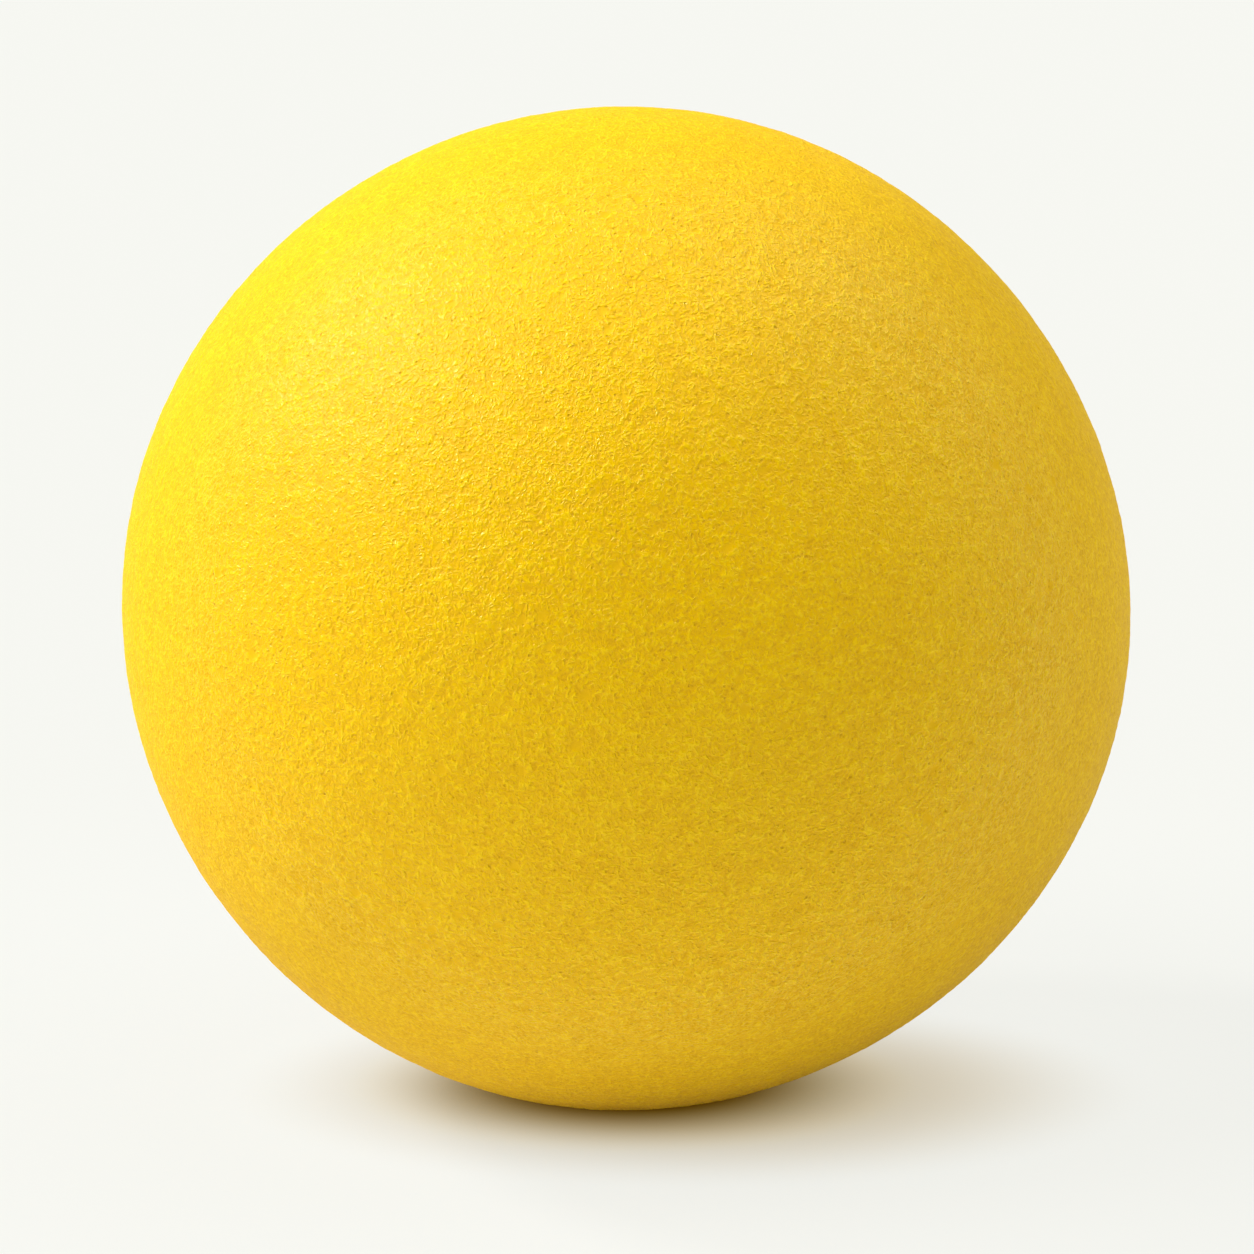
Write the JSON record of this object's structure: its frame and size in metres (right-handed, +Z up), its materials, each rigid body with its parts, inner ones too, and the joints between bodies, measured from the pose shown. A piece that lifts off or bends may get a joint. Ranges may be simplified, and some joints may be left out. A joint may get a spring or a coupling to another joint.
{
  "type": "dodgeball",
  "caption": "Soft foam dodgeball: an open-cell foam ball, sealed and wrapped in a tough, finely wrinkled yellow skin, standing on the small flat that its weight presses.",
  "frame": {"origin": "on the floor, at the middle of the flat that the standing ball presses, straight below the ball's centre", "axes": "+Z up, through the ball's centre; the ball is round about it, so +X and +Y are free and +Y points away from the picture's camera"},
  "size_m": [0.178, 0.178, 0.1775],
  "materials": {
    "foam": "soft open-cell foam, natural cream, fine cells",
    "sealed_foam": "foam cells filled with primer, matt",
    "skin": "sprayed elastomer, satin yellow, finely wrinkled with small pits"
  },
  "bodies": {
    "root": {"foam_core": "foam", "sealed_foam": "sealed_foam", "skin": "skin"}
  },
  "joints": []
}
